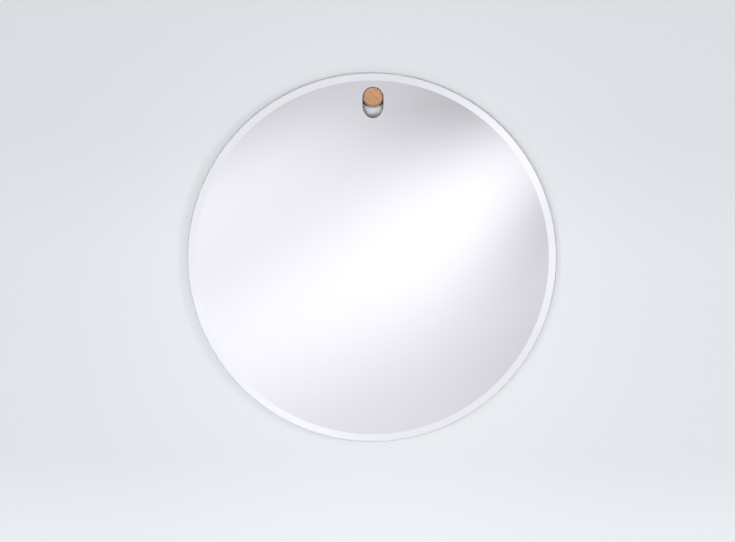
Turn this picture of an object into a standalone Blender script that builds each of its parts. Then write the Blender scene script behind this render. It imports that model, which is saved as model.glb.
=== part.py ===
"""Round frameless bevelled mirror hanging on a wooden wall peg, in metres with +Z up.

The origin is where the peg's axis meets the wall's face. The wall lies at y = 0 and the
mirror faces -Y, so every y of the mirror is negative and the wall plug's are positive.
"""

import math

import bmesh
import bpy

# Driving dimensions
GAP = 0.0003  # between pieces that touch
MIRROR_RADIUS = 0.250
GLASS_THICKNESS = 0.005
BEVEL_WIDTH = 0.010
BEVEL_DROP = 0.002
EDGE_ARRIS = 0.0005
SLOT_RADIUS = 0.014
SLOT_LENGTH = 0.042
SLOT_STRETCH = 1.22  # its lower end is half an oval, this much taller than a half circle
SLOT_INSET = 0.0188  # from the mirror's top edge down to the slot
SLOT_ARRIS = 0.001
PEG_RADIUS = 0.0123
PEG_HEAD_RADIUS = 0.0128  # in front of the sleeve, which the head keeps in its place
PEG_PROUD = 0.020  # how far the peg stands out of the glass
PEG_ROUNDING = 0.0014
PEG_TAPER = 0.0005  # how much narrower than the head's back its front is
SLEEVE_WALL = 0.0008
BOARD_RADIUS = 0.239
BOARD_THICKNESS = 0.010
EDGE_BAND_WALL = 0.001
BUMPER_HEIGHT = 0.006
BUMPER_RADIUS = 0.007
BUMPER_ROUNDING = 0.002
BUMPER_REACH = 0.20076  # from the mirror's centre
BUMPER_DEGREES = (35.0, 145.0, 235.0, 305.0)
TAPE_THICKNESS = 0.0015
TAPE_WIDTH = 0.025
TAPE_PLACES = (-0.180, -0.120, -0.060, 0.060, 0.120, 0.180)
TAPE_INSET = 0.022  # from the board's edge to a tape's ends
FILM_THICKNESS = 0.0004
FILM_INSET = 0.003
FILM_SLOT_MARGIN = 0.001

# The layers of the mirror, from the wall forward
BOARD_BACK = -(BUMPER_HEIGHT + GAP)
BOARD_FRONT = BOARD_BACK - BOARD_THICKNESS
TAPE_BACK = BOARD_FRONT - GAP
TAPE_FRONT = TAPE_BACK - TAPE_THICKNESS
FILM_BACK = TAPE_FRONT - GAP
FILM_FRONT = FILM_BACK - FILM_THICKNESS
GLASS_BACK = FILM_FRONT - GAP
GLASS_FRONT = GLASS_BACK - GLASS_THICKNESS

# Heights, measured from the peg's axis
SLEEVE_BORE = PEG_RADIUS + GAP
SLEEVE_RADIUS = SLEEVE_BORE + SLEEVE_WALL
SLOT_TOP = SLEEVE_RADIUS + GAP
SLOT_HIGH = SLOT_TOP - SLOT_RADIUS  # centre of the slot's upper arc
SLOT_LOW = SLOT_TOP - SLOT_LENGTH + SLOT_RADIUS * SLOT_STRETCH  # centre of its lower end
MIRROR_CENTRE = SLOT_TOP + SLOT_INSET - MIRROR_RADIUS

# The cup behind the slot's lower half, pressed from sheet
CUP_SHEET = 0.0008
CUP_RADIUS = SLOT_RADIUS + 0.0005
CUP_DEPTH = 0.0034
CUP_POWER = 4  # the higher it is, the flatter the bowl's floor and the steeper its rim
CUP_FLANGE_WIDTH = 0.0085
CUP_EDGE_RADIUS = 0.0177  # the arc of the cup's upper edge, under the peg
CUP_EDGE_CENTRE = 0.0039
CUP_STEPS = 8
FLANGE_BACK = TAPE_BACK
FLANGE_FRONT = FLANGE_BACK - CUP_SHEET
SCREW_RADIUS = 0.0014
SCREW_HEAD_RADIUS = 0.0026
SCREW_TIP_RADIUS = 0.0003
SCREW_CONE = 0.0012
SCREW_LENGTH = 0.0085
SCREW_SHANK_SHARE = 0.8  # of the screw's length, in front of its point
UPPER_SCREW_SHARE = 0.64  # of the way down from the peg's axis to the slot's lower end
LOWER_SCREW_DEGREES = 50.0

# The wall fixing's layers, from the wall forward
GASKET_THICKNESS = 0.001
ROSETTE_THICKNESS = 0.003
WASHER_THICKNESS = 0.0012
NUT_THICKNESS = 0.004
INSERT_LENGTH = 0.014
GASKET_FRONT = -GASKET_THICKNESS
ROSETTE_BACK = GASKET_FRONT - GAP
ROSETTE_FRONT = ROSETTE_BACK - ROSETTE_THICKNESS
PEG_BACK = ROSETTE_FRONT - GAP
PEG_FRONT = GLASS_FRONT - PEG_PROUD
SLEEVE_FRONT = GLASS_FRONT - 2 * GAP
PEG_HEAD_BACK = SLEEVE_FRONT - GAP
WASHER_FRONT = PEG_BACK - WASHER_THICKNESS
NUT_BACK = WASHER_FRONT - GAP
NUT_FRONT = NUT_BACK - NUT_THICKNESS
COUNTERBORE_END = NUT_FRONT - 3 * GAP
INSERT_BACK = COUNTERBORE_END - GAP
INSERT_FRONT = INSERT_BACK - INSERT_LENGTH
BOLT_TIP = INSERT_FRONT + 0.001
PEG_BORE_END = INSERT_FRONT - 0.001
PEG_BORE_TIP = INSERT_FRONT - 0.003

# Its diameters, threads and other shapes
BOLT_RADIUS = 0.004
BOLT_CHAMFER = 0.0012
BOLT_PITCH = 0.00125
BOLT_THREAD_DEPTH = 0.0006
BOLT_HOLE = BOLT_RADIUS + GAP
SHANK_RADIUS = 0.0036  # between the bolt's two threads
SHANK_BACK = 0.001
WOOD_THREAD_RADIUS = 0.0036
WOOD_THREAD_PITCH = 0.0034
WOOD_THREAD_DEPTH = 0.0009
WOOD_THREAD_START = 0.002
WOOD_POINT_LENGTH = 0.003
WOOD_POINT = 0.042
PLUG_RADIUS = 0.005
PLUG_LENGTH = 0.050
PLUG_MOUTH = 0.0002
PLUG_RIB_HEIGHT = 0.0004
PLUG_RIB_PITCH = 0.0054
PLUG_RIBS_END = 0.043
PLUG_TIP_RADIUS = 0.0036
PLUG_BORE = WOOD_THREAD_RADIUS + GAP
PLUG_BORE_END = 0.044
PLUG_BORE_TIP = 0.047
PLUG_BORE_TIP_RADIUS = 0.0023
PLUG_SLIT = 0.001
PLUG_SLIT_ENDS = (0.020, 0.040)
GASKET_BORE = PLUG_RADIUS + PLUG_RIB_HEIGHT + 0.0008
GASKET_RADIUS = 0.0235
ROSETTE_RADIUS = 0.025
ROSETTE_ROUNDING = 0.0015
WASHER_RADIUS = 0.0066
WASHER_SPLIT = 0.001
NUT_ACROSS_FLATS = 0.013
NUT_CHAMFER = 0.0005
COUNTERBORE_RADIUS = 0.0084
PEG_BACK_CHAMFER = 0.0006
INSERT_RADIUS = 0.006
INSERT_PITCH = 0.0022
INSERT_THREAD_DEPTH = 0.0008

RIM_SEGMENTS = 96
CUP_EDGE_SEGMENTS = 64
ROUND_SEGMENTS = 40
BUMPER_SEGMENTS = 24
WASHER_SEGMENTS = 22
SMALL_SEGMENTS = 14
SCREW_SEGMENTS = 12
SLOT_SEGMENTS = 20  # along each end
SHARP_DEGREES = 30.0
BEVEL_SHARP_DEGREES = 8.0
CUP_SHARP_DEGREES = 40.0


def material(name, colour, metallic=0.0, roughness=0.5):
    """A Principled material, shared by every sub-part that names it."""
    found = bpy.data.materials.get(name)
    if found:
        return found
    made = bpy.data.materials.new(name)
    made.use_nodes = True
    shader = made.node_tree.nodes["Principled BSDF"]
    shader.inputs["Base Color"].default_value = (*colour, 1.0)
    shader.inputs["Metallic"].default_value = metallic
    shader.inputs["Roughness"].default_value = roughness
    return made


def black_rubber():
    return material("black_rubber", (0.02, 0.02, 0.02), 0.0, 0.7)


def zinc_steel():
    return material("zinc_steel", (0.62, 0.63, 0.64), 1.0, 0.35)


def finish(name, bm, look=None, sharp_degrees=SHARP_DEGREES):
    """Turn a bmesh into a named, smooth-shaded object; a cutter has no material."""
    bmesh.ops.recalc_face_normals(bm, faces=bm.faces)
    mesh = bpy.data.meshes.new(name)
    bm.to_mesh(mesh)
    bm.free()
    if look:
        mesh.materials.append(look)
    mesh.shade_smooth()
    mesh.set_sharp_from_angle(angle=math.radians(sharp_degrees))
    made = bpy.data.objects.new(name, mesh)
    bpy.context.scene.collection.objects.link(made)
    return made


def on_the_axis(pair):
    """Whether an edge lies on the turning axis, where it makes no surface."""
    return pair[0].co.x == 0.0 and pair[1].co.x == 0.0


def turned(name, profile, look, segments=ROUND_SEGMENTS, height=0.0):
    """A solid turned from a closed loop of (radius, y) points, about a level axis."""
    bm = bmesh.new()
    points = [bm.verts.new((radius, y, height)) for radius, y in profile]
    pairs = zip(points, points[1:] + points[:1])
    edges = [bm.edges.new(pair) for pair in pairs if not on_the_axis(pair)]
    bmesh.ops.spin(
        bm, geom=points + edges, cent=(0, 0, height), axis=(0, 1, 0), dvec=(0, 0, 0),
        angle=math.tau, steps=segments, use_merge=True,
    )
    bmesh.ops.remove_doubles(bm, verts=bm.verts, dist=1e-6)
    return finish(name, bm, look)


def loft(name, rings, look=None, sharp_degrees=SHARP_DEGREES):
    """A closed solid through rings of equally many points, capped at both ends."""
    bm = bmesh.new()
    loops = [[bm.verts.new(point) for point in ring] for ring in rings]
    for near, far in zip(loops, loops[1:]):
        for i in range(len(near)):
            j = (i + 1) % len(near)
            bm.faces.new((near[i], near[j], far[j], far[i]))
    bm.faces.new(loops[0])
    bm.faces.new(loops[-1])
    return finish(name, bm, look, sharp_degrees)


def obround(radius, y, high=SLOT_HIGH):
    """The outline of an upright slot, round above and oval below, in the plane at y."""
    points = []
    for centre, start, tall in ((high, 0.0, radius), (SLOT_LOW, math.pi, radius * SLOT_STRETCH)):
        for i in range(SLOT_SEGMENTS + 1):
            turn = start + math.pi * i / SLOT_SEGMENTS
            points.append((radius * math.cos(turn), y, centre + tall * math.sin(turn)))
    return points


def circle(radius, y, x=0.0, z=0.0, segments=SMALL_SEGMENTS):
    """A circle in the plane at y."""
    turns = [math.tau * i / segments for i in range(segments)]
    return [(x + radius * math.cos(t), y, z + radius * math.sin(t)) for t in turns]


def disc(name, levels, look, sharp_degrees=SHARP_DEGREES):
    """A disc round the mirror's centre, from the (radius, y) of its edge's corners."""
    rings = [
        circle(radius, y, z=MIRROR_CENTRE, segments=RIM_SEGMENTS) for radius, y in levels
    ]
    return loft(name, rings, look, sharp_degrees)


def rounded(centre_radius, centre_y, size, start, end, steps=4):
    """Profile points of a quarter round, with its angles in degrees."""
    turns = [math.radians(start + (end - start) * i / steps) for i in range(steps + 1)]
    return [
        (centre_radius + size * math.cos(t), centre_y + size * math.sin(t)) for t in turns
    ]


def cut(target, cutter):
    """Subtract a hidden cutter from an object."""
    cutter.hide_render = True
    cutter.display_type = "WIRE"
    step = target.modifiers.new(cutter.name, "BOOLEAN")
    step.operation = "DIFFERENCE"
    step.solver = "EXACT"
    step.object = cutter


def slot_cutter(name, radius, high=SLOT_HIGH):
    """A cutter for a plain slot through every layer of the mirror."""
    far_front = GLASS_FRONT - GLASS_THICKNESS
    return loft(name, [obround(radius, y, high) for y in (GLASS_THICKNESS, far_front)])


def ridges(start_y, end_y, pitch, crest, root):
    """Profile points of a thread's rings, from start_y to end_y."""
    count = max(1, round(abs(end_y - start_y) / pitch))
    step = (end_y - start_y) / count
    points = []
    for i in range(count):
        points.append((root, start_y + step * i))
        points.append((crest, start_y + step * (i + 0.5)))
    points.append((root, end_y))
    return points


# Wall fixing


def make_wall_plug():
    """Nylon plug in the wall, with ribs and an expansion slit through its middle."""
    rib = PLUG_RADIUS + PLUG_RIB_HEIGHT
    profile = [(PLUG_BORE, PLUG_MOUTH), (PLUG_RADIUS, PLUG_MOUTH)]
    profile += ridges(2 * GAP, PLUG_RIBS_END, PLUG_RIB_PITCH, rib, PLUG_RADIUS)
    profile += [(PLUG_TIP_RADIUS, PLUG_LENGTH), (0.0, PLUG_LENGTH), (0.0, PLUG_BORE_TIP)]
    profile += [(PLUG_BORE_TIP_RADIUS, PLUG_BORE_TIP), (PLUG_BORE, PLUG_BORE_END)]
    look = material("grey_nylon", (0.48, 0.50, 0.52), 0.0, 0.55)
    plug = turned("wall_plug", profile, look, SMALL_SEGMENTS)
    half = PLUG_SLIT / 2
    start, end = PLUG_SLIT_ENDS
    rings = [
        [(-half, start, z), (half, start, z), (half, end, z), (-half, end, z)]
        for z in (-2 * PLUG_RADIUS, 2 * PLUG_RADIUS)
    ]
    cut(plug, loft("plug_slit_cutter", rings))
    return plug


def make_hanger_bolt():
    """Bolt with a wood thread in the plug and an M8 thread that holds the peg."""
    wood = ridges(
        WOOD_POINT - WOOD_POINT_LENGTH, WOOD_THREAD_START, WOOD_THREAD_PITCH,
        WOOD_THREAD_RADIUS, WOOD_THREAD_RADIUS - WOOD_THREAD_DEPTH,
    )
    metric = ridges(
        NUT_BACK + GAP, BOLT_TIP + BOLT_THREAD_DEPTH, BOLT_PITCH,
        BOLT_RADIUS, BOLT_RADIUS - BOLT_THREAD_DEPTH,
    )
    profile = [(0.0, WOOD_POINT), *wood]
    profile += [(SHANK_RADIUS, SHANK_BACK), (SHANK_RADIUS, NUT_BACK + 3 * GAP), *metric]
    profile += [(BOLT_RADIUS - BOLT_CHAMFER, BOLT_TIP), (0.0, BOLT_TIP)]
    return turned("hanger_bolt", profile, zinc_steel(), SMALL_SEGMENTS)


def make_gasket():
    """Thin rubber ring between the rosette and the wall, round the plug's mouth."""
    profile = [
        (GASKET_BORE, 0.0), (GASKET_RADIUS, 0.0),
        (GASKET_RADIUS, GASKET_FRONT), (GASKET_BORE, GASKET_FRONT),
    ]
    return turned("wall_gasket", profile, black_rubber())


def make_rosette():
    """Black steel disc that spreads the peg's load over the wall."""
    edge = ROSETTE_ROUNDING
    corner = rounded(ROSETTE_RADIUS - edge, ROSETTE_FRONT + edge, edge, 0.0, -90.0)
    profile = [(BOLT_HOLE, ROSETTE_BACK), (ROSETTE_RADIUS, ROSETTE_BACK), *corner]
    profile.append((BOLT_HOLE, ROSETTE_FRONT))
    look = material("black_steel", (0.025, 0.025, 0.027), 0.4, 0.45)
    return turned("wall_rosette", profile, look)


def make_lock_washer():
    """Split spring washer under the nut."""
    profile = [
        (BOLT_HOLE, PEG_BACK), (WASHER_RADIUS, PEG_BACK),
        (WASHER_RADIUS, WASHER_FRONT), (BOLT_HOLE, WASHER_FRONT),
    ]
    washer = turned("lock_washer", profile, zinc_steel(), WASHER_SEGMENTS)
    half = WASHER_SPLIT / 2
    low, high = BOLT_RADIUS / 2, 2 * BOLT_RADIUS
    rings = [
        [(-half, y, low), (half, y, low), (half, y, high), (-half, y, high)]
        for y in (0.0, NUT_FRONT)
    ]
    cut(washer, loft("washer_split_cutter", rings))
    return washer


def make_nut():
    """Thin M8 nut that clamps the rosette on the bolt."""
    corner = NUT_ACROSS_FLATS / math.sqrt(3)
    eased = corner - NUT_CHAMFER
    levels = (
        (eased, NUT_BACK), (corner, NUT_BACK - NUT_CHAMFER),
        (corner, NUT_FRONT + NUT_CHAMFER), (eased, NUT_FRONT),
    )
    rings = [circle(radius, y, segments=6) for radius, y in levels]
    nut = loft("rosette_nut", rings, zinc_steel())
    hole = [circle(BOLT_HOLE, y) for y in (PEG_BACK, INSERT_BACK)]
    cut(nut, loft("nut_bore_cutter", hole))
    return nut


def make_peg():
    """Turned wooden peg with a seat for the sleeve, a bore and a recess for the nut."""
    bore = INSERT_RADIUS + GAP
    chamfer = PEG_BACK_CHAMFER
    front = rounded(
        PEG_HEAD_RADIUS - PEG_TAPER - PEG_ROUNDING, PEG_FRONT + PEG_ROUNDING, PEG_ROUNDING,
        -90.0, 0.0,
    )
    profile = [(0.0, PEG_FRONT), *front, (PEG_HEAD_RADIUS, PEG_HEAD_BACK)]
    profile += [(PEG_RADIUS, PEG_HEAD_BACK), (PEG_RADIUS, PEG_BACK - chamfer)]
    profile += [(PEG_RADIUS - chamfer, PEG_BACK), (COUNTERBORE_RADIUS, PEG_BACK)]
    profile += [(COUNTERBORE_RADIUS, COUNTERBORE_END), (bore, COUNTERBORE_END)]
    profile += [(bore, PEG_BORE_END), (0.0, PEG_BORE_TIP)]
    look = material("beech", (0.62, 0.40, 0.24), 0.0, 0.55)
    return turned("wooden_peg", profile, look)


def make_insert():
    """Brass insert with a coarse outer thread, screwed into the peg's back."""
    root = INSERT_RADIUS - INSERT_THREAD_DEPTH
    profile = [(BOLT_HOLE, INSERT_BACK), (root, INSERT_BACK)]
    profile += ridges(INSERT_BACK - 2 * GAP, INSERT_FRONT, INSERT_PITCH, INSERT_RADIUS, root)
    profile.append((BOLT_HOLE, INSERT_FRONT))
    look = material("brass", (0.78, 0.60, 0.30), 1.0, 0.3)
    return turned("peg_insert", profile, look, SMALL_SEGMENTS)


def make_sleeve():
    """Thin rubber sleeve on the peg, which the mirror's slot rests on."""
    back = BOARD_BACK + 2 * GAP
    profile = [
        (SLEEVE_BORE, back), (SLEEVE_RADIUS, back),
        (SLEEVE_RADIUS, SLEEVE_FRONT), (SLEEVE_BORE, SLEEVE_FRONT),
    ]
    look = material("brown_rubber", (0.52, 0.37, 0.26), 0.0, 0.65)
    return turned("peg_sleeve", profile, look)


# Mirror


def make_glass():
    """Silvered float glass, bevelled round its edge, with the hanging slot cut through."""
    levels = [
        (MIRROR_RADIUS - BEVEL_WIDTH, GLASS_FRONT),
        (MIRROR_RADIUS, GLASS_FRONT + BEVEL_DROP),
        (MIRROR_RADIUS, GLASS_BACK - EDGE_ARRIS),
        (MIRROR_RADIUS - EDGE_ARRIS, GLASS_BACK),
    ]
    look = material("silvered_glass", (0.86, 0.88, 0.89), 1.0, 0.03)
    glass = disc("mirror_glass", levels, look, BEVEL_SHARP_DEGREES)
    wide = SLOT_RADIUS + 2 * SLOT_ARRIS
    rings = [
        obround(SLOT_RADIUS, GLASS_BACK + GLASS_THICKNESS),
        obround(SLOT_RADIUS, GLASS_FRONT + SLOT_ARRIS),
        obround(wide, GLASS_FRONT - SLOT_ARRIS),
    ]
    cut(glass, loft("glass_slot_cutter", rings))
    return glass


def make_film():
    """Safety film over the glass's painted back."""
    edge = MIRROR_RADIUS - FILM_INSET
    look = material("grey_film", (0.42, 0.44, 0.46), 0.0, 0.5)
    film = disc("safety_film", [(edge, FILM_FRONT), (edge, FILM_BACK)], look)
    cut(film, slot_cutter("film_slot_cutter", SLOT_RADIUS + FILM_SLOT_MARGIN))
    return film


def make_board():
    """Black backing board, open for the peg and for the cup, drilled for its screws."""
    levels = [(BOARD_RADIUS, BOARD_FRONT), (BOARD_RADIUS, BOARD_BACK)]
    look = material("black_board", (0.03, 0.03, 0.032), 0.0, 0.65)
    board = disc("backing_board", levels, look)
    cut(board, slot_cutter("board_slot_cutter", SLOT_RADIUS))
    pocket = CUP_RADIUS + CUP_SHEET + 2 * GAP
    cut(board, slot_cutter("board_pocket_cutter", pocket, high=SLOT_LOW + SLOT_RADIUS / 2))
    for i, (x, z) in enumerate(screw_places()):
        ends = (TAPE_FRONT, BOARD_FRONT + SCREW_LENGTH)
        hole = [circle(SCREW_RADIUS + GAP, y, x, z, SCREW_SEGMENTS) for y in ends]
        cut(board, loft(f"board_hole_cutter_{i + 1}", hole))
    return board


def make_edge_band():
    """Thin black band round the board's edge."""
    inner = BOARD_RADIUS + GAP
    outer = inner + EDGE_BAND_WALL
    profile = [
        (inner, BOARD_FRONT), (outer, BOARD_FRONT), (outer, BOARD_BACK), (inner, BOARD_BACK)
    ]
    look = material("black_abs", (0.02, 0.02, 0.022), 0.0, 0.4)
    return turned("board_edge_band", profile, look, RIM_SEGMENTS, MIRROR_CENTRE)


def make_tapes():
    """Upright strips of foam tape between the board and the glass."""
    look = material("white_foam", (0.80, 0.80, 0.78), 0.0, 0.8)
    for i, x in enumerate(TAPE_PLACES):
        reach = math.sqrt(BOARD_RADIUS**2 - (abs(x) + TAPE_WIDTH / 2) ** 2) - TAPE_INSET
        low, high = MIRROR_CENTRE - reach, MIRROR_CENTRE + reach
        left, right = x - TAPE_WIDTH / 2, x + TAPE_WIDTH / 2
        rings = [
            [(left, y, low), (right, y, low), (right, y, high), (left, y, high)]
            for y in (TAPE_BACK, TAPE_FRONT)
        ]
        loft(f"mirror_tape_{i + 1}", rings, look)


def screw_places():
    """Where the cup's screws sit on its flange: two beside the peg, two below."""
    reach = CUP_RADIUS + CUP_FLANGE_WIDTH / 2
    lower = math.radians(LOWER_SCREW_DEGREES)
    x, z = reach * math.cos(lower), SLOT_LOW - reach * SLOT_STRETCH * math.sin(lower)
    beside = SLOT_LOW * UPPER_SCREW_SHARE
    return [(-reach, beside), (reach, beside), (-x, z), (x, z)]


def cup_ring(radius, y):
    """Points down one side of the cup, round its lower end and up the other side."""
    points = [(-radius, y, 0.0)]
    tall = radius * SLOT_STRETCH
    for i in range(SLOT_SEGMENTS + 1):
        turn = math.pi + math.pi * i / SLOT_SEGMENTS
        points.append((radius * math.cos(turn), y, SLOT_LOW + tall * math.sin(turn)))
    points.append((radius, y, 0.0))
    return points


def make_cup():
    """Pressed steel cup that lines the slot's lower half, with a flange on the board."""
    levels = [(CUP_RADIUS + CUP_FLANGE_WIDTH, FLANGE_FRONT)]
    for i in range(CUP_STEPS + 1):
        share = 1.0 - i / CUP_STEPS
        depth = CUP_DEPTH * (1.0 - share**CUP_POWER)
        levels.append((CUP_RADIUS * share, FLANGE_FRONT + depth))
    bm = bmesh.new()
    rows = [[bm.verts.new(point) for point in cup_ring(*level)] for level in levels]
    for near, far in zip(rows, rows[1:]):
        for i in range(len(near) - 1):
            bm.faces.new((near[i], near[i + 1], far[i + 1], far[i]))
    bmesh.ops.remove_doubles(bm, verts=bm.verts, dist=1e-6)
    look = material("brushed_stainless", (0.70, 0.71, 0.73), 1.0, 0.28)
    cup = finish("slot_cup", bm, look, CUP_SHARP_DEGREES)
    face_front(cup)
    sheet = cup.modifiers.new("sheet", "SOLIDIFY")
    sheet.thickness = CUP_SHEET
    sheet.offset = -1.0
    edge = [
        circle(CUP_EDGE_RADIUS, y, z=CUP_EDGE_CENTRE, segments=CUP_EDGE_SEGMENTS)
        for y in (GLASS_THICKNESS, GLASS_FRONT)
    ]
    cut(cup, loft("cup_edge_cutter", edge))
    hole = SCREW_RADIUS + GAP
    levels = (
        (hole, BOARD_FRONT), (hole, FLANGE_FRONT + SCREW_CONE),
        (2 * SCREW_HEAD_RADIUS - SCREW_RADIUS + GAP, FLANGE_FRONT - SCREW_CONE),
    )
    for i, (x, z) in enumerate(screw_places()):
        rings = [circle(radius, y, x, z, SCREW_SEGMENTS) for radius, y in levels]
        cut(cup, loft(f"cup_hole_cutter_{i + 1}", rings))
    return cup


def face_front(target):
    """Turn an open sheet's faces towards -Y."""
    mesh = target.data
    if sum(face.normal.y * face.area for face in mesh.polygons) > 0:
        mesh.flip_normals()


def make_cup_screws():
    """Countersunk screws that hold the cup's flange on the board."""
    levels = (
        (SCREW_HEAD_RADIUS, FLANGE_FRONT), (SCREW_RADIUS, FLANGE_FRONT + SCREW_CONE),
        (SCREW_RADIUS, FLANGE_FRONT + SCREW_SHANK_SHARE * SCREW_LENGTH),
        (SCREW_TIP_RADIUS, FLANGE_FRONT + SCREW_LENGTH),
    )
    for i, (x, z) in enumerate(screw_places()):
        rings = [circle(radius, y, x, z, SCREW_SEGMENTS) for radius, y in levels]
        loft(f"cup_screw_{i + 1}", rings, zinc_steel())


def make_bumpers():
    """Silicone bumpers on the board's back, which keep the mirror off the wall."""
    look = material("clear_silicone", (0.72, 0.74, 0.74), 0.0, 0.35)
    edge = BUMPER_ROUNDING
    foot = rounded(BUMPER_RADIUS - edge, -edge, edge, 0.0, 90.0)
    levels = [(BUMPER_RADIUS, -BUMPER_HEIGHT), *foot]
    for i, degrees in enumerate(BUMPER_DEGREES):
        turn = math.radians(degrees)
        x = BUMPER_REACH * math.cos(turn)
        z = MIRROR_CENTRE + BUMPER_REACH * math.sin(turn)
        rings = [circle(radius, y, x, z, BUMPER_SEGMENTS) for radius, y in levels]
        loft(f"wall_bumper_{i + 1}", rings, look)


def main():
    for old in list(bpy.data.objects):
        bpy.data.objects.remove(old)
    make_wall_plug()
    make_hanger_bolt()
    make_gasket()
    make_rosette()
    make_lock_washer()
    make_nut()
    make_peg()
    make_insert()
    make_sleeve()
    make_glass()
    make_film()
    make_board()
    make_edge_band()
    make_tapes()
    make_cup()
    make_cup_screws()
    make_bumpers()


main()
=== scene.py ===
"""The looks of the round bevelled mirror on its wooden peg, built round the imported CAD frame.

Metres, +Z up. The origin is where the peg's axis meets the wall, and the mirror faces -Y.
"""

import math

import bmesh
import bpy
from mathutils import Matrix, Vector


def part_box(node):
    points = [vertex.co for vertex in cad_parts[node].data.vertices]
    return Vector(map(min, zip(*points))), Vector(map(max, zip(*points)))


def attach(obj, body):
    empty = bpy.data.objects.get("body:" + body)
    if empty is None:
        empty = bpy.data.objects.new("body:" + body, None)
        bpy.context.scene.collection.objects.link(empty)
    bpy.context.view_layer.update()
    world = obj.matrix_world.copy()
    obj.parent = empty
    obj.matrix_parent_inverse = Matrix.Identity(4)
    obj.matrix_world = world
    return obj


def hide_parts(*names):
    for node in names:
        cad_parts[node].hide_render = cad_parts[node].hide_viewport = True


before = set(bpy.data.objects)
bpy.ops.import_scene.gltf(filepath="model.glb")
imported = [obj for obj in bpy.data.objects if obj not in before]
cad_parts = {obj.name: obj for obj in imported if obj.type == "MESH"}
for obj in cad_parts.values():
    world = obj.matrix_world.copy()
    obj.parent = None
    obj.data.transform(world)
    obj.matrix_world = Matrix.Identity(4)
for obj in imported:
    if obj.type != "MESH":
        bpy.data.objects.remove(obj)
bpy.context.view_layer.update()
MM = 0.001

# Places and sizes read from the frame
GLASS_LOW, GLASS_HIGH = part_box("mirror_glass")
PEG_LOW, PEG_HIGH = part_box("wooden_peg")
SLEEVE_LOW, SLEEVE_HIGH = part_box("peg_sleeve")
CUP_LOW, CUP_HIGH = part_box("slot_cup")

MIRROR_RADIUS = (GLASS_HIGH.z - GLASS_LOW.z) / 2
MIRROR_CENTRE = (GLASS_HIGH.z + GLASS_LOW.z) / 2
GLASS_FRONT, GLASS_BACK = GLASS_LOW.y, GLASS_HIGH.y
PEG_HEAD_RADIUS = PEG_HIGH.z
SLEEVE_RADIUS = SLEEVE_HIGH.z

# Measures of the mirror and its peg that the boxes don't hold
GAP = 0.3 * MM  # between pieces that touch
BEVEL_WIDTH = MIRROR_RADIUS * 0.04
BEVEL_DROP = 2.0 * MM
RIM_ARRIS = 0.35 * MM
SLOT_ARRIS = 0.3 * MM
BACK_ARRIS = 0.5 * MM
SLOT_RADIUS = 14.0 * MM
SLOT_LENGTH = 42.0 * MM
SLOT_STRETCH = 1.22  # its lower end is half an oval, this much taller than a half circle
SLOT_TOP = SLEEVE_RADIUS + GAP
SLOT_HIGH = SLOT_TOP - SLOT_RADIUS
SLOT_LOW = SLOT_TOP - SLOT_LENGTH + SLOT_RADIUS * SLOT_STRETCH
PEG_RADIUS = PEG_HEAD_RADIUS - 0.5 * MM
PEG_ROUNDING = 1.4 * MM
PEG_TAPER = 0.5 * MM  # how much narrower than the head's back its front is
PEG_CHAMFER = 0.6 * MM
NUT_RECESS = (8.4 * MM, 6.3 * MM)  # its radius and its depth in the peg's back
INSERT_BORE = (6.3 * MM, 15.3 * MM)  # the same, from the recess on
BORE_TIP = 2.0 * MM

# The cup behind the slot's lower half
CUP_SHEET = 0.8 * MM
CUP_SHOULDER = 1.2 * MM  # the round where the flange turns into the bowl
CUP_SHOULDER_STEPS = 8
CUP_SHOULDER_DEPTH = 0.5 * MM  # about what the round takes of the depth
CUP_RIM = SLOT_RADIUS + 0.2 * MM
CUP_POWER = 4.0  # the higher it is, the flatter the bowl's floor and the steeper its rim
CUP_STEPS = 20
CUP_TILT = 0.07  # how much deeper the bowl gets towards its lower end
CUP_FLANGE = 9.0 * MM
CUP_EDGE_RADIUS = 17.7 * MM  # the arc of the cup's upper edge, under the peg
CUP_EDGE_CENTRE = 3.9 * MM
CUP_HOLE_RADIUS = 1.7 * MM
CUP_CONE_RADIUS = 4.1 * MM
CUP_CONE_REACH = 1.2 * MM

# The camera: far away, a little below and to the left of the mirror's centre, from
# where the peg's underside shows. It is rolled a little, so that the peg doesn't stand
# quite above the mirror's centre
LENS = 162.0
SENSOR = 36.0
VIEW_WIDTH = 3.9902 * MIRROR_RADIUS  # what it takes in across, at the glass's front
CAMERA_DISTANCE = VIEW_WIDTH * LENS / SENSOR
CAMERA_SHIFT_X = -0.0060
CAMERA_DROP = 0.0186
CAMERA_ROLL = math.radians(-0.36)

# The softbox that the mirror reflects: how far in front of the wall it stands, its
# even brightness, and its brighter and darker patches, each with its gain, its place
# from the mirror's axis, its size both ways in metres and its turn in degrees. It is
# even up to CARD_EVEN from its middle, and fades from there to its edge
CARD_DISTANCE = 2.2
CARD_HALF = 2.1
CARD_EVEN = 1.4
CARD_LEVEL = 0.829
CARD_PATCHES = (
    (0.42, 0.16, 0.07, 0.88, 0.21, 27.0),
    (-0.60, 0.31, 0.37, 0.36, 0.13, 9.0),
    (-0.60, 0.48, 0.22, 0.28, 0.10, 47.0),
    (0.26, -0.11, 0.26, 0.12, 0.89, 120.0),
    (-0.60, 0.78, 0.01, 0.35, 0.50, 141.0),
    (0.56, 0.57, 0.56, 0.41, 0.86, 48.0),
    (0.14, -0.54, -1.29, 1.40, 0.46, 122.0),
    (-0.34, -0.06, 0.62, 0.59, 1.06, 162.0),
)
SILVER = (0.955, 0.955, 0.95)

# The studio
WALL_PLACE = 0.4 * MM
WALL_HALF = 4.0
WALL_TOP = 2.0
FLOOR_HEIGHT = -2.45
FLOOR_HALF = 12.0

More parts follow.
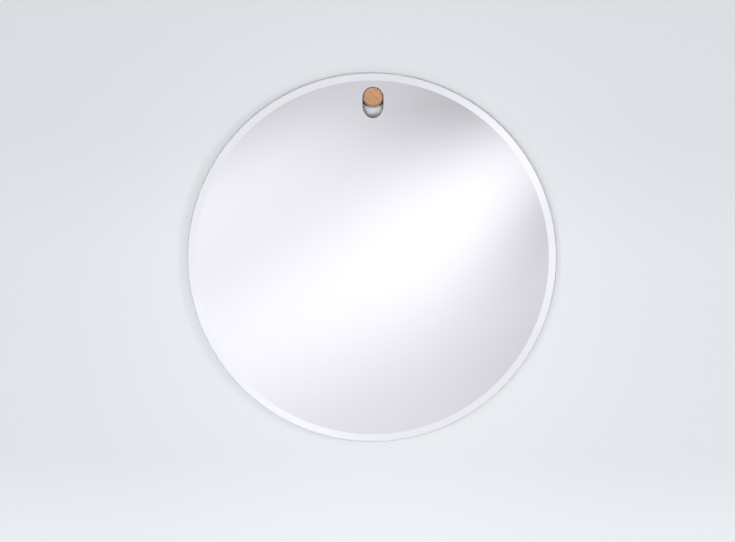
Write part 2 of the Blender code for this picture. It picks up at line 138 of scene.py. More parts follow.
# Each lamp's name, place, aim, width, height and power, and whether it is mirrored
CENTRE = (0.0, 0.0, MIRROR_CENTRE)
LAMPS = (
    ("key", (2.1, -3.6, MIRROR_CENTRE), CENTRE, 0.8, 0.8, 22.0, False),
    ("second", (-1.3, -4.2, MIRROR_CENTRE), CENTRE, 0.6, 0.6, 20.0, False),
    ("front", (-0.04, -5.0, MIRROR_CENTRE - 0.2), CENTRE, 1.0, 1.0, 159.0, False),
    ("low_fill", (0.0, -3.0, -1.6), (0.0, 0.0, -0.9), 3.6, 1.0, 13.0, False),
    ("back_left", (-2.2, 2.4, 0.9), CENTRE, 1.6, 1.6, 60.0, True),
    ("back_right", (2.4, 2.2, -0.6), CENTRE, 1.6, 1.6, 35.0, True),
)

RIM_SEGMENTS = 256
SLOT_SEGMENTS = 48  # along each end


# Shader helpers


def node(tree, kind, settings=None, **inputs):
    """A shader node, with settings, and inputs that are values or other nodes' sockets."""
    made = tree.nodes.new(kind)
    for key, value in (settings or {}).items():
        setattr(made, key, value)
    for key, value in inputs.items():
        socket = made.inputs[int(key[1:]) if key[0] == "_" else key.replace("_", " ")]
        if isinstance(value, bpy.types.NodeSocket):
            tree.links.new(value, socket)
        else:
            socket.default_value = value
    return made


def look(name, colour, roughness, **values):
    """A Principled material; returns the material, its tree and its shader."""
    made = bpy.data.materials.new(name)
    made.use_nodes = True
    tree = made.node_tree
    shader = tree.nodes["Principled BSDF"]
    shader.inputs["Base Color"].default_value = (*colour, 1.0)
    shader.inputs["Roughness"].default_value = roughness
    for key, value in values.items():
        shader.inputs[key.replace("_", " ")].default_value = value
    return made, tree, shader


def place(tree, stretch=(1.0, 1.0, 1.0)):
    """Coordinates fixed to the piece, in metres, stretched along its axes."""
    where = node(tree, "ShaderNodeTexCoord").outputs["Object"]
    return node(tree, "ShaderNodeMapping", Vector=where, Scale=stretch).outputs["Vector"]


def noise(tree, where, size, detail=3.0, roughness=0.5, distortion=0.0):
    """Noise whose blotches are about size metres across."""
    made = node(
        tree, "ShaderNodeTexNoise", Vector=where, Scale=1.0 / size, Detail=detail,
        Roughness=roughness, Distortion=distortion,
    )
    return made.outputs["Fac"]


def ramp(tree, fac, *stops):
    """A colour ramp through (position, colour) stops."""
    made = node(tree, "ShaderNodeValToRGB", Fac=fac)
    marks = made.color_ramp.elements
    while len(marks) < len(stops):
        marks.new(0.5)
    for mark, (position, colour) in zip(marks, stops):
        mark.position = position
        mark.color = (*colour, 1.0)
    return made.outputs["Color"]


def spread(tree, fac, low, high, start=0.3, end=0.7):
    """A value between low and high as fac goes from start to end."""
    made = node(
        tree, "ShaderNodeMapRange", Value=fac, From_Min=start, From_Max=end,
        To_Min=low, To_Max=high,
    )
    return made.outputs["Result"]


def math_node(tree, operation, *values):
    """A Math node over two or three values."""
    inputs = {f"_{i}": value for i, value in enumerate(values)}
    return node(tree, "ShaderNodeMath", {"operation": operation}, **inputs).outputs[0]


def mixed(tree, fac, first, second, blend="MIX"):
    """Two colours mixed by fac."""
    settings = {"data_type": "RGBA", "blend_type": blend}
    made = node(tree, "ShaderNodeMix", settings, _0=fac, _6=first, _7=second)
    return made.outputs[2]


def bump(tree, shader, height, depth, strength=1.0):
    """Relief on the shader's surface, depth in metres."""
    made = node(
        tree, "ShaderNodeBump", Height=height, Strength=strength, Distance=depth
    )
    tree.links.new(made.outputs["Normal"], shader.inputs["Normal"])


def feed(tree, shader, key, socket):
    """Drive one of the shader's inputs by a socket."""
    tree.links.new(socket, shader.inputs[key])


# Materials


def silver_look():
    """Silvered glass seen through its clear face: faint smears and the odd speck."""
    made, tree, shader = look("silvered_glass", SILVER, 0.0, Metallic=1.0)
    smear = noise(tree, place(tree, (1.0, 1.0, 0.45)), 90.0 * MM, 4.0, 0.6, 0.8)
    haze = math_node(tree, "POWER", spread(tree, smear, 0.0, 1.0, 0.45, 0.85), 2.0)
    feed(tree, shader, "Roughness", math_node(tree, "MULTIPLY", haze, 0.025))
    specks = node(
        tree, "ShaderNodeTexVoronoi", Vector=place(tree), Scale=1.0 / (34.0 * MM)
    )
    speck = spread(tree, specks.outputs["Distance"], 1.0, 0.0, 0.006, 0.012)
    cloudy = mixed(tree, haze, (*SILVER, 1.0), (0.925, 0.93, 0.935, 1.0))
    feed(tree, shader, "Base Color", mixed(tree, speck, cloudy, (0.55, 0.56, 0.57, 1.0)))
    return made


def edge_look():
    """Polished glass edge: grey green, with fine grinding marks round the disc."""
    made, tree, shader = look(
        "polished_glass_edge", (0.65, 0.72, 0.71), 0.10, IOR=1.52, Coat_Weight=0.6
    )
    marks = noise(tree, place(tree, (1.0, 14.0, 1.0)), 3.0 * MM, 4.0, 0.6)
    feed(tree, shader, "Base Color", ramp(
        tree, marks, (0.3, (0.60, 0.67, 0.66)), (0.7, (0.70, 0.77, 0.76))
    ))
    feed(tree, shader, "Roughness", spread(tree, marks, 0.06, 0.18))
    return made


def paint_look():
    """The grey paint that covers the silvering on the pane's back."""
    made, tree, shader = look("mirror_backing_paint", (0.16, 0.17, 0.18), 0.5)
    cloud = noise(tree, place(tree), 20.0 * MM, 4.0)
    feed(tree, shader, "Base Color", ramp(
        tree, cloud, (0.3, (0.13, 0.14, 0.15)), (0.7, (0.20, 0.21, 0.22))
    ))
    bump(tree, shader, noise(tree, place(tree), 0.8 * MM), 0.02 * MM, 0.4)
    return made


def film_look():
    """Grey safety film with the weave of its reinforcing threads."""
    made, tree, shader = look("safety_film", (0.42, 0.44, 0.46), 0.45)
    where = place(tree)
    lines = []
    for axis in ("X", "Z"):
        wave = node(
            tree, "ShaderNodeTexWave", {"bands_direction": axis}, Vector=where,
            Scale=1.0 / (40.0 * MM), Distortion=0.3,
        )
        lines.append(wave.outputs["Fac"])
    weave = math_node(tree, "MAXIMUM", *lines)
    cloud = noise(tree, where, 30.0 * MM)
    tint = ramp(tree, cloud, (0.3, (0.36, 0.38, 0.40)), (0.7, (0.46, 0.48, 0.50)))
    threads = spread(tree, weave, 0.0, 0.35, 0.85, 1.0)
    feed(tree, shader, "Base Color", mixed(tree, threads, tint, (0.62, 0.63, 0.64, 1.0)))
    bump(tree, shader, weave, 0.05 * MM, 0.6)
    return made


def board_look():
    """Black fibreboard: pressed fibres, a slight sheen and scuffs."""
    made, tree, shader = look("black_fibreboard", (0.03, 0.03, 0.032), 0.6)
    fibre = noise(tree, place(tree), 2.4 * MM, 8.0, 0.75, 1.2)
    cloud = noise(tree, place(tree), 38.0 * MM, 4.0, 0.55)
    deep = ramp(tree, fibre, (0.35, (0.018, 0.018, 0.020)), (0.7, (0.052, 0.051, 0.050)))
    worn = spread(tree, cloud, 0.0, 0.10, 0.40, 0.80)
    feed(tree, shader, "Base Color", mixed(tree, worn, deep, (0.075, 0.073, 0.070, 1.0)))
    feed(tree, shader, "Roughness", spread(tree, fibre, 0.54, 0.66))
    bump(tree, shader, fibre, 0.12 * MM, 0.5)
    return made


def plastic_look(name, colour, roughness, grain=0.35 * MM, depth=0.03 * MM):
    """Moulded plastic with a fine grain and faint handling marks."""
    made, tree, shader = look(name, colour, roughness)
    grains = noise(tree, place(tree), grain, 3.0, 0.6)
    cloud = noise(tree, place(tree), 14.0 * MM, 3.0)
    darker = tuple(c * 0.86 for c in colour)
    lighter = tuple(min(1.0, c * 1.12 + 0.004) for c in colour)
    feed(tree, shader, "Base Color", ramp(tree, cloud, (0.3, darker), (0.7, lighter)))
    feed(tree, shader, "Roughness", spread(tree, cloud, roughness - 0.07, roughness + 0.08))
    bump(tree, shader, grains, depth, 0.5)
    return made


def rubber_look(name, colour):
    """Matt rubber, with a coarser grain than the plastics."""
    return plastic_look(name, colour, 0.62, 0.5 * MM, 0.05 * MM)


def silicone_look():
    """Milky clear silicone."""
    made, tree, shader = look(
        "clear_silicone", (0.80, 0.82, 0.82), 0.30, Subsurface_Weight=0.35,
        Subsurface_Scale=0.004, IOR=1.41,
    )
    shader.inputs["Subsurface Radius"].default_value = (1.0, 1.0, 1.0)
    cloud = noise(tree, place(tree), 5.0 * MM, 3.0)
    feed(tree, shader, "Base Color", ramp(
        tree, cloud, (0.3, (0.70, 0.73, 0.73)), (0.7, (0.84, 0.86, 0.86))
    ))
    feed(tree, shader, "Roughness", spread(tree, cloud, 0.24, 0.38))
    return made


def foam_look():
    """White closed-cell foam."""
    made, tree, shader = look("white_foam", (0.80, 0.80, 0.77), 0.85)
    cells = node(
        tree, "ShaderNodeTexVoronoi", Vector=place(tree), Scale=1.0 / (0.8 * MM)
    ).outputs["Distance"]
    feed(tree, shader, "Base Color", ramp(
        tree, cells, (0.1, (0.66, 0.66, 0.63)), (0.6, (0.84, 0.84, 0.81))
    ))
    bump(tree, shader, cells, 0.15 * MM, 0.6)
    return made


def steel_look(name, colour, roughness, stretch, brushed=0.25 * MM):
    """Metal with fine marks drawn out along the axis with the smallest stretch."""
    made, tree, shader = look(name, colour, roughness, Metallic=1.0)
    marks = noise(tree, place(tree, stretch), brushed, 4.0, 0.65)
    cloud = noise(tree, place(tree), 6.0 * MM, 3.0)
    darker = tuple(c * 0.90 for c in colour)
    feed(tree, shader, "Base Color", ramp(tree, cloud, (0.3, darker), (0.7, colour)))
    feed(tree, shader, "Roughness", spread(tree, marks, roughness - 0.06, roughness + 0.08))
    bump(tree, shader, marks, 0.01 * MM, 0.4)
    return made


def powder_look():
    """Black powder coat on steel, with its slight orange peel."""
    made, tree, shader = look("black_powder_coat", (0.022, 0.022, 0.024), 0.42)
    peel = noise(tree, place(tree), 0.8 * MM, 2.0, 0.5)
    cloud = noise(tree, place(tree), 9.0 * MM)
    feed(tree, shader, "Base Color", ramp(
        tree, cloud, (0.3, (0.018, 0.018, 0.020)), (0.7, (0.032, 0.032, 0.034))
    ))
    feed(tree, shader, "Roughness", spread(tree, cloud, 0.36, 0.50))
    bump(tree, shader, peel, 0.05 * MM, 0.5)
    return made


def wood_look():
    """Oiled beech. The fibres run along the peg, so its front shows end grain."""
    made, tree, shader = look(
        "oiled_beech", (0.52, 0.28, 0.13), 0.5, Specular_IOR_Level=0.35
    )
    shifted = node(
        tree, "ShaderNodeMapping", Vector=place(tree, (1.0, 0.03, 1.0)),
        Location=(0.017, 0.0, 0.021),
    ).outputs["Vector"]
    rings = node(
        tree, "ShaderNodeTexWave",
        {"wave_type": "RINGS", "rings_direction": "Y", "wave_profile": "SAW"},
        Vector=shifted, Scale=1.0 / (24.0 * MM), Distortion=2.2, Detail=2.0, Detail_Scale=1.4,
    ).outputs["Fac"]
    cloud = noise(tree, place(tree, (1.0, 0.12, 1.0)), 4.5 * MM, 4.0, 0.65, 0.4)
    pores = noise(tree, place(tree, (1.0, 0.05, 1.0)), 0.55 * MM, 3.0, 0.6)
    flecks = noise(tree, place(tree, (0.6, 0.08, 1.5)), 1.7 * MM, 3.0, 0.6)
    ground = ramp(tree, rings, (0.0, (0.50, 0.273, 0.143)), (1.0, (0.39, 0.196, 0.096)))
    tinted = mixed(
        tree, spread(tree, cloud, 0.0, 0.85, 0.38, 0.66), ground, (0.575, 0.343, 0.192, 1.0)
    )
    ruddy = mixed(
        tree, spread(tree, flecks, 0.0, 0.6, 0.52, 0.70), tinted, (0.44, 0.190, 0.096, 1.0)
    )
    dark = spread(tree, pores, 0.0, 0.65, 0.58, 0.72)
    feed(tree, shader, "Base Color", mixed(tree, dark, ruddy, (0.20, 0.08, 0.035, 1.0)))
    feed(tree, shader, "Roughness", spread(tree, pores, 0.42, 0.62))
    bump(tree, shader, pores, 0.06 * MM, 0.5)
    return made


# Mesh helpers


def finish_piece(name, bm, looks, body, cad_nodes, sharp_degrees=30.0, closed=True):
    """Turn a bmesh into a finished piece that rides on a body and stands for CAD nodes."""
    if closed:
        bmesh.ops.recalc_face_normals(bm, faces=bm.faces)
    mesh = bpy.data.meshes.new(name)
    bm.to_mesh(mesh)
    bm.free()
    for item in looks:
        mesh.materials.append(item)
    mesh.shade_smooth()
    mesh.set_sharp_from_angle(angle=math.radians(sharp_degrees))
    made = bpy.data.objects.new(name, mesh)
    bpy.context.scene.collection.objects.link(made)
    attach(made, body)
    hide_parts(*cad_nodes)
    return made


def circle(radius, y, x=0.0, z=0.0, segments=64):
    """Points round an upright circle that faces along Y."""
    turns = [math.tau * i / segments for i in range(segments)]
    return [(x + radius * math.cos(t), y, z + radius * math.sin(t)) for t in turns]


def obround(radius, y):
    """The outline of the upright slot, round above and half an oval below."""
    points = []
    tall = radius * SLOT_STRETCH
    for centre, start, reach in ((SLOT_HIGH, 0.0, radius), (SLOT_LOW, math.pi, tall)):
        for i in range(SLOT_SEGMENTS + 1):
            turn = start + math.pi * i / SLOT_SEGMENTS
            points.append((radius * math.cos(turn), y, centre + reach * math.sin(turn)))
    return points


def add_wall(bm, rings, material_of):
    """Join rings of points into a tube; returns its first and last loop of vertices."""
    loops = [[bm.verts.new(point) for point in ring] for ring in rings]
    for k, (near, far) in enumerate(zip(loops, loops[1:])):
        for i in range(len(near)):
            j = (i + 1) % len(near)
            face = bm.faces.new((near[i], near[j], far[j], far[i]))
            face.material_index = material_of[k]
    return loops[0], loops[-1]


def fill_between(bm, outer, inner, index):
    """A flat face between an outer and an inner loop."""
    edges = []
    for loop in (outer, inner):
        for i in range(len(loop)):
            pair = (loop[i], loop[(i + 1) % len(loop)])
            edges.append(bm.edges.get(pair) or bm.edges.new(pair))
    made = bmesh.ops.triangle_fill(bm, use_beauty=True, use_dissolve=False, edges=edges)
    for face in made["geom"]:
        if isinstance(face, bmesh.types.BMFace):
            face.material_index = index


def turned(bm, profile, segments=96, height=0.0):
    """Turn a closed loop of (radius, y) points about a level axis."""
    points = [bm.verts.new((radius, y, height)) for radius, y in profile]
    edges = []
    for first, second in zip(points, points[1:] + points[:1]):
        if first.co.x > 0.0 or second.co.x > 0.0:
            edges.append(bm.edges.new((first, second)))
    bmesh.ops.spin(
        bm, geom=points + edges, cent=(0, 0, height), axis=(0, 1, 0), dvec=(0, 0, 0),
        angle=math.tau, steps=segments, use_merge=True,
    )
    bmesh.ops.remove_doubles(bm, verts=bm.verts, dist=1e-7)


def rounded(centre_radius, centre_y, size, start, end, steps=8):
    """Profile points of a round, with its angles in degrees."""
    turns = [math.radians(start + (end - start) * i / steps) for i in range(steps + 1)]
    return [
        (centre_radius + size * math.cos(t), centre_y + size * math.sin(t)) for t in turns
    ]


# Pieces


def make_glass():
    """The silvered pane: mirror faces in front, paint behind and polished edges."""
    mirror, edge, backing = 0, 1, 2
    land = GLASS_FRONT + BEVEL_DROP
    arris_front = land - RIM_ARRIS * BEVEL_DROP / BEVEL_WIDTH
    levels = [
        (MIRROR_RADIUS - BEVEL_WIDTH, GLASS_FRONT), (MIRROR_RADIUS - RIM_ARRIS, arris_front),
        (MIRROR_RADIUS, land + RIM_ARRIS), (MIRROR_RADIUS, GLASS_BACK - BACK_ARRIS),
        (MIRROR_RADIUS - BACK_ARRIS, GLASS_BACK),
    ]
    bm = bmesh.new()
    rings = [
        circle(radius, y, z=MIRROR_CENTRE, segments=RIM_SEGMENTS) for radius, y in levels
    ]
    front, back = add_wall(bm, rings, (mirror, edge, edge, edge))
    rings = [
        obround(SLOT_RADIUS + SLOT_ARRIS, GLASS_FRONT),
        obround(SLOT_RADIUS, GLASS_FRONT + SLOT_ARRIS),
        obround(SLOT_RADIUS, GLASS_BACK - BACK_ARRIS),
        obround(SLOT_RADIUS + BACK_ARRIS, GLASS_BACK),
    ]
    slot_front, slot_back = add_wall(bm, rings, (mirror, edge, edge))
    fill_between(bm, front, slot_front, mirror)
    fill_between(bm, back, slot_back, backing)
    looks = [silver_look(), edge_look(), paint_look()]
    return finish_piece(
        "mirror_pane", bm, looks, "mirror", ["mirror_glass"], 8.0
    )


def make_peg(wood):
    """The wooden peg, with a worn rounding round its front."""
    front = rounded(
        PEG_HEAD_RADIUS - PEG_TAPER - PEG_ROUNDING, PEG_LOW.y + PEG_ROUNDING, PEG_ROUNDING,
        -90.0, 0.0, steps=10,
    )
    head_back = SLEEVE_LOW.y - GAP
    eased = 0.3 * MM
    recess, recess_depth = NUT_RECESS
    bore, bore_depth = INSERT_BORE
    recess_end = PEG_HIGH.y - recess_depth
    bore_end = recess_end - bore_depth
    profile = [(0.0, PEG_LOW.y), (PEG_RADIUS * 0.45, PEG_LOW.y), *front]
    profile += [(PEG_HEAD_RADIUS, head_back - eased)]
    profile += [(PEG_HEAD_RADIUS - eased, head_back), (PEG_RADIUS, head_back)]
    profile += [(PEG_RADIUS, PEG_HIGH.y - PEG_CHAMFER), (PEG_RADIUS - PEG_CHAMFER, PEG_HIGH.y)]
    profile += [(recess, PEG_HIGH.y), (recess, recess_end), (bore, recess_end)]
    profile += [(bore, bore_end), (0.0, bore_end - BORE_TIP)]
    bm = bmesh.new()
    turned(bm, profile)
    return finish_piece("peg_turned", bm, [wood], "wall_fixing", ["wooden_peg"])


def make_sleeve(rubber):
    """The rubber sleeve, with rounded ends."""
    inner = PEG_RADIUS + GAP
    wall = SLEEVE_RADIUS - inner
    end = wall * 0.45
    profile = [
        *rounded(SLEEVE_RADIUS - end, SLEEVE_LOW.y + end, end, -90.0, 0.0, 4),
        *rounded(SLEEVE_RADIUS - end, SLEEVE_HIGH.y - end, end, 0.0, 90.0, 4),
        *rounded(inner + end, SLEEVE_HIGH.y - end, end, 90.0, 180.0, 4),
        *rounded(inner + end, SLEEVE_LOW.y + end, end, 180.0, 270.0, 4),
    ]
    bm = bmesh.new()
    turned(bm, profile)
    return finish_piece(
        "sleeve_ring", bm, [rubber], "sleeve", ["peg_sleeve"], 50.0
    )


def cup_ring(radius, y, segments=64):
    """Points down one side of the cup, round its lower end and up the other side."""
    turns = [math.pi + math.pi * i / segments for i in range(segments + 1)]
    tall = radius * SLOT_STRETCH
    lower = [
        (radius * math.cos(t), y, SLOT_LOW + tall * math.sin(t)) for t in turns
    ]
    return [(-radius, y, 0.0), *lower, (radius, y, 0.0)]


def cutter(name, rings):
    """A closed solid through rings of equally many points, for cutting with."""
    bm = bmesh.new()
    first, last = add_wall(bm, rings, [0] * (len(rings) - 1))
    bm.faces.new(first)
    bm.faces.new(last)
    bmesh.ops.recalc_face_normals(bm, faces=bm.faces)
    mesh = bpy.data.meshes.new(name)
    bm.to_mesh(mesh)
    bm.free()
    made = bpy.data.objects.new(name, mesh)
    bpy.context.scene.collection.objects.link(made)
    return made


def cup_profile(front, depth):
    """The (radius, y) of the cup's rows: flange, rounded shoulder, then the bowl."""
    slope = math.atan(CUP_POWER * (depth - CUP_SHOULDER_DEPTH) / CUP_RIM)
    start = CUP_SHOULDER * (1.0 - math.cos(slope))
    profile = [(CUP_RIM + CUP_FLANGE, front)]
    for i in range(CUP_SHOULDER_STEPS + 1):
        turn = slope * i / CUP_SHOULDER_STEPS
        profile.append((
            CUP_RIM + CUP_SHOULDER * (math.sin(slope) - math.sin(turn)),
            front + CUP_SHOULDER * (1.0 - math.cos(turn)),
        ))
    for i in range(1, CUP_STEPS):
        share = 1.0 - i / CUP_STEPS
        sunk = (depth - start) * (1.0 - share ** CUP_POWER)
        profile.append((CUP_RIM * share, front + start + sunk))
    return profile


def cup_cutters(front):
    """Cutters for the cup's upper edge and for its four countersunk holes."""
    back = front + CUP_SHEET
    cutters = [cutter("cup_arc", [
        circle(CUP_EDGE_RADIUS, y, z=CUP_EDGE_CENTRE, segments=160) for y in (GLASS_FRONT, 0.0)
    ])]
    for i in range(1, 5):
        low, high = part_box(f"cup_screw_{i}")
        x, z = (low.x + high.x) / 2, (low.z + high.z) / 2
        cutters.append(cutter(f"cup_hole_{i}", [
            circle(radius, y, x, z, 32)
            for radius, y in (
                (CUP_CONE_RADIUS, front - CUP_CONE_REACH),
                (CUP_HOLE_RADIUS, front + CUP_CONE_REACH), (CUP_HOLE_RADIUS, back + 1.0 * MM),
            )
        ]))
    return cutters


def make_cup(steel):
    """The pressed cup: a satin bowl that steepens towards its rim, and a drilled flange."""
    front = CUP_LOW.y
    depth = CUP_HIGH.y - CUP_LOW.y - CUP_SHEET
    bm = bmesh.new()
    rows = [
        [bm.verts.new(point) for point in cup_ring(*level)]
        for level in cup_profile(front, depth)
    ]
    rows.append([
        bm.verts.new((0.0, front + depth, max(SLOT_LOW, point.co.z))) for point in rows[-1]
    ])
    for row in rows:
        for point in row:
            sunk = (point.co.y - front) / depth
            point.co.y += CUP_TILT * sunk * max(0.0, SLOT_LOW - point.co.z)
    for near, far in zip(rows, rows[1:]):
        for i in range(len(near) - 1):
            bm.faces.new((near[i], near[i + 1], far[i + 1], far[i]))
    bmesh.ops.remove_doubles(bm, verts=bm.verts, dist=1e-7)
    if sum(face.normal.y * face.calc_area() for face in bm.faces) > 0.0:
        bmesh.ops.reverse_faces(bm, faces=bm.faces)
    made = finish_piece(
        "cup_pressed", bm, [steel], "mirror", ["slot_cup"], 35.0, False
    )
    thick = made.modifiers.new("sheet", "SOLIDIFY")
    thick.thickness = CUP_SHEET
    thick.offset = -1.0
    cutters = cup_cutters(front)
    for tool in cutters:
        step = made.modifiers.new(tool.name, "BOOLEAN")
        step.operation = "DIFFERENCE"
        step.solver = "EXACT"
        step.object = tool
    graph = bpy.context.evaluated_depsgraph_get()
    mesh = bpy.data.meshes.new_from_object(made.evaluated_get(graph))
    made.modifiers.clear()
    made.data = mesh
    mesh.shade_smooth()
    mesh.set_sharp_from_angle(angle=math.radians(35.0))
    for tool in cutters:
        bpy.data.objects.remove(tool)
    return made


# Stage, lights and camera


def hide_from(thing, *kinds):
    """Keep a thing out of some kinds of rays."""
    for kind in kinds:
        setattr(thing, f"visible_{kind}", False)


def plane(name, corners, item):
    """A flat stage piece through four corners."""
    mesh = bpy.data.meshes.new(name)
    mesh.from_pydata(corners, [], [(0, 1, 2, 3)])
    mesh.materials.append(item)
    made = bpy.data.objects.new(name, mesh)
    bpy.context.scene.collection.objects.link(made)
    return made


def wall_look():
    """Pale wall that can be looked through from behind, so that the object's back shows. Its
    colour carries painted shade: lighter near the floor and darker higher up.
    """
    made, tree, shader = look("stage_wall", (0.70, 0.72, 0.75), 0.9)
    where = node(tree, "ShaderNodeTexCoord").outputs["Object"]
    up = node(tree, "ShaderNodeSeparateXYZ", Vector=where).outputs["Z"]
    # Painted shade: the wall's colour is lightest near the floor and darker towards the top,
    # standing in for how the light falls across it
    feed(tree, shader, "Base Color", ramp(
        tree, spread(tree, up, 0.0, 1.0, -0.65, 0.15), (0.05, (0.803, 0.825, 0.859)),
        (0.2, (0.731, 0.751, 0.782)), (0.55, (0.735, 0.755, 0.786)), (0.75, (0.696, 0.714, 0.744)),
    ))
    clear = node(tree, "ShaderNodeBsdfTransparent")
    side = node(tree, "ShaderNodeNewGeometry").outputs["Backfacing"]
    mix = node(tree, "ShaderNodeMixShader")
    tree.links.new(side, mix.inputs[0])
    tree.links.new(shader.outputs[0], mix.inputs[1])
    tree.links.new(clear.outputs[0], mix.inputs[2])
    tree.links.new(mix.outputs[0], tree.nodes["Material Output"].inputs["Surface"])
    return made


def card_look():
    """A softbox, even but for its softly edged brighter and darker patches."""
    made = bpy.data.materials.new("reflection_card")
    made.use_nodes = True
    tree = made.node_tree
    tree.nodes.remove(tree.nodes["Principled BSDF"])
    where = node(tree, "ShaderNodeTexCoord").outputs["Object"]
    flat = node(
        tree, "ShaderNodeVectorMath", {"operation": "MULTIPLY"}, _0=where, _1=(1, 0, 1)
    ).outputs[0]
    total = CARD_LEVEL
    for gain, x, z, wide, high, turn in CARD_PATCHES:
        local = node(
            tree, "ShaderNodeMapping", {"vector_type": "TEXTURE"}, Vector=flat,
            Location=(x, 0.0, z + MIRROR_CENTRE), Rotation=(0.0, -math.radians(turn), 0.0),
            Scale=(wide, 1.0, high),
        ).outputs["Vector"]
        reach = node(
            tree, "ShaderNodeVectorMath", {"operation": "DOT_PRODUCT"}, _0=local, _1=local
        ).outputs["Value"]
        bell = math_node(tree, "EXPONENT", math_node(tree, "MULTIPLY", reach, -1.0))
        total = math_node(tree, "ADD", math_node(tree, "MULTIPLY", bell, gain), total)
    light = node(
        tree, "ShaderNodeEmission", Color=(1.045, 1.04, 1.12, 1.0), Strength=total
    )
    apart = node(tree, "ShaderNodeSeparateXYZ", Vector=flat)
    across = math_node(tree, "ABSOLUTE", apart.outputs["X"])
    above = math_node(
        tree, "ABSOLUTE", math_node(tree, "SUBTRACT", apart.outputs["Z"], MIRROR_CENTRE)
    )
    edge = spread(
        tree, math_node(tree, "MAXIMUM", across, above), 0.0, 1.0, CARD_EVEN, CARD_HALF
    )
    mix = node(tree, "ShaderNodeMixShader")
    tree.links.new(edge, mix.inputs[0])
    tree.links.new(light.outputs[0], mix.inputs[1])
    tree.links.new(node(tree, "ShaderNodeBsdfTransparent").outputs[0], mix.inputs[2])
    tree.links.new(mix.outputs[0], tree.nodes["Material Output"].inputs["Surface"])
    return made


def floor_look():
    """Pale floor that brightens with distance, so that it meets the sky softly."""
    made, tree, shader = look("stage_floor", (0.35, 0.355, 0.365), 1.0)
    shader.inputs["Emission Color"].default_value = (0.97, 0.985, 1.0, 1.0)
    where = node(tree, "ShaderNodeTexCoord").outputs["Object"]
    away = node(tree, "ShaderNodeVectorMath", {"operation": "LENGTH"}, _0=where)
    feed(tree, shader, "Emission Strength", spread(
        tree, away.outputs["Value"], 0.38, 0.80, 2.5, 11.5
    ))
    return made


def make_stage():
    """The wall, the floor and the softbox that only reflections show."""
    left, right, place_y = -WALL_HALF, WALL_HALF, WALL_PLACE
    wall = plane("stage_wall", [
        (left, place_y, FLOOR_HEIGHT), (right, place_y, FLOOR_HEIGHT),
        (right, place_y, WALL_TOP), (left, place_y, WALL_TOP),
    ], wall_look())
    hide_from(wall, "shadow", "diffuse", "glossy", "transmission")
    near, far = -FLOOR_HALF, FLOOR_HALF
    floor = plane("stage_floor", [
        (near, near, FLOOR_HEIGHT), (far, near, FLOOR_HEIGHT),
        (far, far, FLOOR_HEIGHT), (near, far, FLOOR_HEIGHT),
    ], floor_look())
    hide_from(floor, "diffuse")
    low, high = MIRROR_CENTRE - CARD_HALF, MIRROR_CENTRE + CARD_HALF
    card = plane("stage_card", [
        (-CARD_HALF, -CARD_DISTANCE, low), (-CARD_HALF, -CARD_DISTANCE, high),
        (CARD_HALF, -CARD_DISTANCE, high), (CARD_HALF, -CARD_DISTANCE, low),
    ], card_look())
    hide_from(card, "camera", "shadow", "diffuse", "transmission")


def make_lamps():
    """The area lamps, and a soft pool of light on the wall round the mirror."""
    for name, where, at, wide, high, power, mirrored in LAMPS:
        data = bpy.data.lights.new(name, "AREA")
        data.shape = "RECTANGLE"
        data.size = wide
        data.size_y = high
        data.energy = power
        lamp = bpy.data.objects.new(name, data)
        lamp.location = where
        lamp.rotation_euler = (Vector(at) - lamp.location).to_track_quat("-Z", "Y").to_euler()
        lamp.visible_glossy = mirrored
        bpy.context.scene.collection.objects.link(lamp)
    data = bpy.data.lights.new("pool", "SPOT")
    data.energy = 70.0
    data.shadow_soft_size = 0.15
    data.spot_size = math.radians(11.0)
    data.spot_blend = 0.8
    lamp = bpy.data.objects.new("pool", data)
    lamp.location = (0.0, -4.0, MIRROR_CENTRE - 0.03)
    lamp.rotation_euler = (math.pi / 2, 0.0, 0.0)
    lamp.visible_glossy = False
    bpy.context.scene.collection.objects.link(lamp)


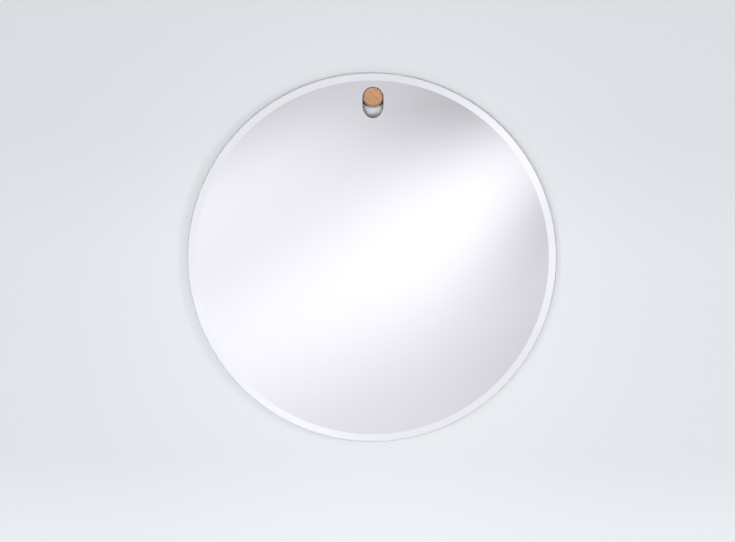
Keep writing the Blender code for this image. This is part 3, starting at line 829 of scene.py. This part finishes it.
def make_world():
    """A pale sky: weak as light, and dimmer on the right where pieces mirror it."""
    world = bpy.data.worlds.new("studio")
    world.use_nodes = True
    bpy.context.scene.world = world
    tree = world.node_tree
    where = node(tree, "ShaderNodeTexCoord").outputs["Generated"]
    parts = node(tree, "ShaderNodeSeparateXYZ", Vector=where).outputs
    sky = ramp(
        tree, spread(tree, parts["Z"], 0.0, 1.0, -1.0, 1.0), (0.35, (0.72, 0.745, 0.78)),
        (0.5, (0.80, 0.825, 0.86)), (0.8, (0.86, 0.885, 0.92)),
    )
    tree.links.new(sky, tree.nodes["Background"].inputs["Color"])
    paths = node(tree, "ShaderNodeLightPath").outputs
    lit = math_node(tree, "MULTIPLY_ADD", paths["Is Diffuse Ray"], -0.88, 1.0)
    dimmed = spread(tree, parts["X"], 0.0, -0.5, 0.3, 0.8)
    strength = math_node(tree, "MULTIPLY_ADD", paths["Is Glossy Ray"], dimmed, lit)
    tree.links.new(strength, tree.nodes["Background"].inputs["Strength"])


def make_camera():
    """The camera, level, and looking along +Y at the mirror's face."""
    data = bpy.data.cameras.new("camera")
    data.lens = LENS
    data.sensor_width = SENSOR
    made = bpy.data.objects.new("camera", data)
    made.location = (
        CAMERA_SHIFT_X, GLASS_FRONT - CAMERA_DISTANCE, MIRROR_CENTRE - CAMERA_DROP
    )
    made.rotation_euler = (math.pi / 2, CAMERA_ROLL, 0.0)
    bpy.context.scene.collection.objects.link(made)
    bpy.context.scene.camera = made


def paint(names, item):
    """Give CAD nodes their material."""
    for name in names:
        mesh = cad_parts[name].data
        mesh.materials.clear()
        mesh.materials.append(item)


def main():
    bpy.context.scene.view_settings.view_transform = "Standard"
    rubber = rubber_look("black_rubber", (0.016, 0.016, 0.017))
    zinc = steel_look("zinc_plate", (0.66, 0.68, 0.70), 0.34, (1.0, 1.0, 1.0), 0.6 * MM)
    make_glass()
    make_peg(wood_look())
    make_sleeve(rubber_look("brown_rubber", (0.52, 0.37, 0.26)))
    make_cup(steel_look("satin_stainless", (0.90, 0.94, 1.0), 0.32, (0.12, 1.0, 1.0)))
    paint(["safety_film"], film_look())
    paint(["backing_board"], board_look())
    paint(["board_edge_band"], plastic_look("black_edge_band", (0.018, 0.018, 0.02), 0.4))
    paint([f"mirror_tape_{i}" for i in range(1, 7)], foam_look())
    paint([f"cup_screw_{i}" for i in range(1, 5)], zinc)
    paint([f"wall_bumper_{i}" for i in range(1, 5)], silicone_look())
    paint(["wall_plug"], plastic_look("grey_nylon", (0.46, 0.48, 0.50), 0.5))
    paint(["hanger_bolt", "lock_washer", "rosette_nut"], zinc)
    paint(["wall_gasket"], rubber)
    # The rosette's black coat is its own colour, and it also stands in for the shade seen in the
    # gap round the peg: partly painted shade
    paint(["wall_rosette"], powder_look())
    paint(["peg_insert"], steel_look("turned_brass", (0.80, 0.60, 0.28), 0.28, (1.0, 6.0, 1.0)))
    make_stage()
    make_lamps()
    make_world()
    make_camera()


main()
